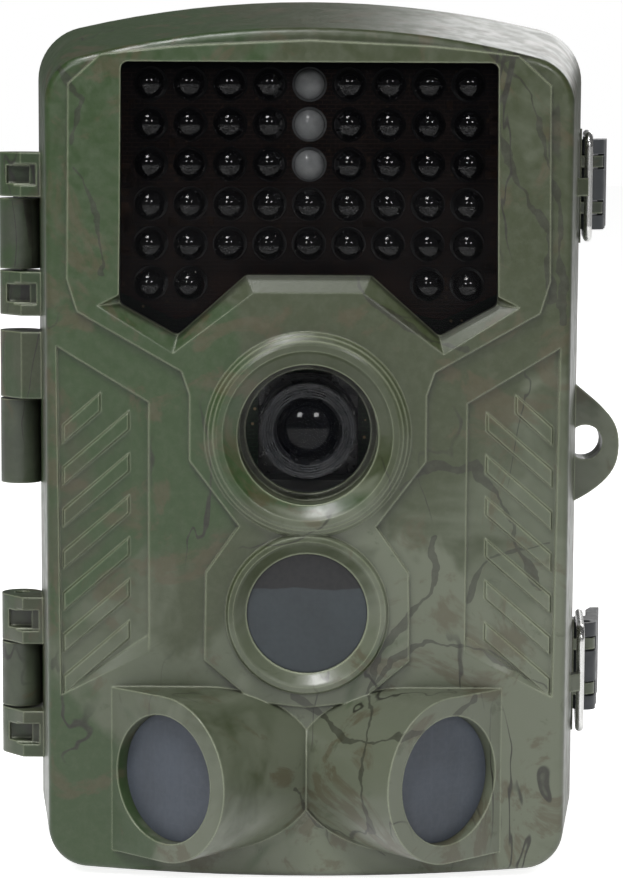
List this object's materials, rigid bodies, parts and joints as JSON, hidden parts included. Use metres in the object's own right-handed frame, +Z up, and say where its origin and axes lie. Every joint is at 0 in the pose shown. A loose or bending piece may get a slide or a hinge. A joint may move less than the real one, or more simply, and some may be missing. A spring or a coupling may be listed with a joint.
{
  "type": "trail camera",
  "caption": "Camouflaged clamshell trail camera with an infrared lamp panel, a lens, motion sensor windows, wire bail latches and a tree bracket.",
  "frame": {"origin": "mouth of the tripod socket in the base of the rear half", "axes": "+Z up, the lens looks along -Y, hinge on the -X side, latches on the +X side"},
  "size_m": [0.1059, 0.0768, 0.145],
  "materials": {
    "camo_front": "moulded, camouflage film, satin",
    "camo_rear": "moulded, camouflage film, satin",
    "seal_rubber": "soft, matt",
    "bracket_plastic": "moulded, fine texture",
    "screw_steel": "zinc plated",
    "insert_brass": "turned",
    "pin_steel": "ground",
    "lever_plastic": "moulded, satin",
    "bail_wire": "bright nickel plate",
    "tinted_window": "dark infrared-passing acrylic, polished",
    "dark_epoxy": "dark epoxy, polished",
    "clear_epoxy": "clear epoxy over a bright reflector",
    "circuit_board": "solder mask",
    "lens_glass": "coated, polished",
    "barrel_black": "matt black",
    "filter_glass": "coated, polished",
    "chip_black": "moulded, matt",
    "pir_film": "milky moulded film, satin",
    "can_metal": "plated can",
    "inner_plastic": "moulded, fine texture",
    "lcd_black": "display glass, dark",
    "clear_window": "clear acrylic, polished",
    "key_grey": "moulded, satin",
    "spring_steel": "nickel plate",
    "cell_jacket": "printed film over a drawn can"
  },
  "bodies": {
    "rear_half": {"rear_case": "camo_rear", "case_seal": "seal_rubber", "tree_bracket": "bracket_plastic", "bracket_screws": "screw_steel", "tripod_insert": "insert_brass", "hinge_pin_upper": "pin_steel", "hinge_pin_middle": "pin_steel", "hinge_pin_lower": "pin_steel", "latch_pin_upper": "pin_steel", "latch_pin_lower": "pin_steel", "rear_battery_tray": "inner_plastic", "tray_screws": "screw_steel", "rear_battery_springs": "spring_steel", "rear_battery_plates": "spring_steel", "rear_battery_cells": "cell_jacket"},
    "front_half": {"front_case": "camo_front", "led_window": "tinted_window", "ir_leds": "dark_epoxy", "flash_leds": "clear_epoxy", "led_board": "circuit_board", "lens_cover_glass": "lens_glass", "lens_barrel": "barrel_black", "lens_front_element": "lens_glass", "lens_rear_elements": "lens_glass", "lens_holder": "barrel_black", "ir_cut_filter": "filter_glass", "image_sensor": "chip_black", "sensor_board": "circuit_board", "pir_window_centre": "pir_film", "pir_window_left": "pir_film", "pir_window_right": "pir_film", "pir_detectors": "can_metal", "pir_boards": "circuit_board", "front_inner_cover": "inner_plastic", "cover_screws": "screw_steel", "lcd_panel": "lcd_black", "lcd_window": "clear_window", "main_board": "circuit_board", "board_chips": "chip_black", "key_domes": "can_metal", "mode_switch": "chip_black", "card_socket": "can_metal", "front_battery_springs": "spring_steel", "front_battery_plates": "spring_steel", "front_battery_cells": "cell_jacket", "port_sockets": "can_metal"},
    "latch_lever_upper": {"latch_lever_upper": "lever_plastic"},
    "latch_bail_upper": {"latch_bail_upper": "bail_wire"},
    "latch_lever_lower": {"latch_lever_lower": "lever_plastic"},
    "latch_bail_lower": {"latch_bail_lower": "bail_wire"},
    "key_menu": {"key_menu": "key_grey"},
    "key_shot": {"key_shot": "key_grey"},
    "key_up": {"key_up": "key_grey"},
    "key_down": {"key_down": "key_grey"},
    "key_left": {"key_left": "key_grey"},
    "key_right": {"key_right": "key_grey"},
    "key_ok": {"key_ok": "key_grey"},
    "mode_switch_knob": {"mode_switch_knob": "key_grey"},
    "memory_card": {"memory_card": "chip_black"},
    "port_cover": {"port_cover": "seal_rubber"}
  },
  "joints": [
    {"name": "case_hinge", "type": "hinge", "parent": "rear_half", "child": "front_half", "pos_m": [-0.0493, -0.014, 0.07], "axis": [0, 0, -1], "range_deg": [0, 115]},
    {"name": "latch_upper", "type": "hinge", "parent": "rear_half", "child": "latch_lever_upper", "pos_m": [0.04907, -0.004, 0.1142], "axis": [0, 0, -1], "range_deg": [0, 110]},
    {"name": "bail_upper", "type": "hinge", "parent": "latch_lever_upper", "child": "latch_bail_upper", "pos_m": [0.04838, -0.00006, 0.1142], "axis": [0, 0, 1], "range_deg": [0, 126.5]},
    {"name": "latch_lower", "type": "hinge", "parent": "rear_half", "child": "latch_lever_lower", "pos_m": [0.04893, -0.004, 0.0296], "axis": [0, 0, -1], "range_deg": [0, 110]},
    {"name": "bail_lower", "type": "hinge", "parent": "latch_lever_lower", "child": "latch_bail_lower", "pos_m": [0.04824, -0.00006, 0.0296], "axis": [0, 0, 1], "range_deg": [0, 126.5]},
    {"name": "key_menu_press", "type": "slide", "parent": "front_half", "child": "key_menu", "axis": [0, -1, 0], "range_m": [0, 0.0008], "stiffness_N_per_m": 400},
    {"name": "key_shot_press", "type": "slide", "parent": "front_half", "child": "key_shot", "axis": [0, -1, 0], "range_m": [0, 0.0008], "stiffness_N_per_m": 400},
    {"name": "key_up_press", "type": "slide", "parent": "front_half", "child": "key_up", "axis": [0, -1, 0], "range_m": [0, 0.0008], "stiffness_N_per_m": 400},
    {"name": "key_down_press", "type": "slide", "parent": "front_half", "child": "key_down", "axis": [0, -1, 0], "range_m": [0, 0.0008], "stiffness_N_per_m": 400},
    {"name": "key_left_press", "type": "slide", "parent": "front_half", "child": "key_left", "axis": [0, -1, 0], "range_m": [0, 0.0008], "stiffness_N_per_m": 400},
    {"name": "key_right_press", "type": "slide", "parent": "front_half", "child": "key_right", "axis": [0, -1, 0], "range_m": [0, 0.0008], "stiffness_N_per_m": 400},
    {"name": "key_ok_press", "type": "slide", "parent": "front_half", "child": "key_ok", "axis": [0, -1, 0], "range_m": [0, 0.0008], "stiffness_N_per_m": 400},
    {"name": "mode_slide", "type": "slide", "parent": "front_half", "child": "mode_switch_knob", "axis": [0, 0, 1], "range_m": [-0.0015, 0.0015]},
    {"name": "card_eject", "type": "slide", "parent": "front_half", "child": "memory_card", "axis": [0, 1, 0], "range_m": [0, 0.003]},
    {"name": "port_flap", "type": "hinge", "parent": "front_half", "child": "port_cover", "pos_m": [0, -0.027, 0.0003], "axis": [1, 0, 0], "range_deg": [0, 100]}
  ],
  "couplings": [
    {"joint": "bail_upper", "follows": "latch_upper", "ratio": 1.15},
    {"joint": "bail_lower", "follows": "latch_lower", "ratio": 1.15}
  ]
}
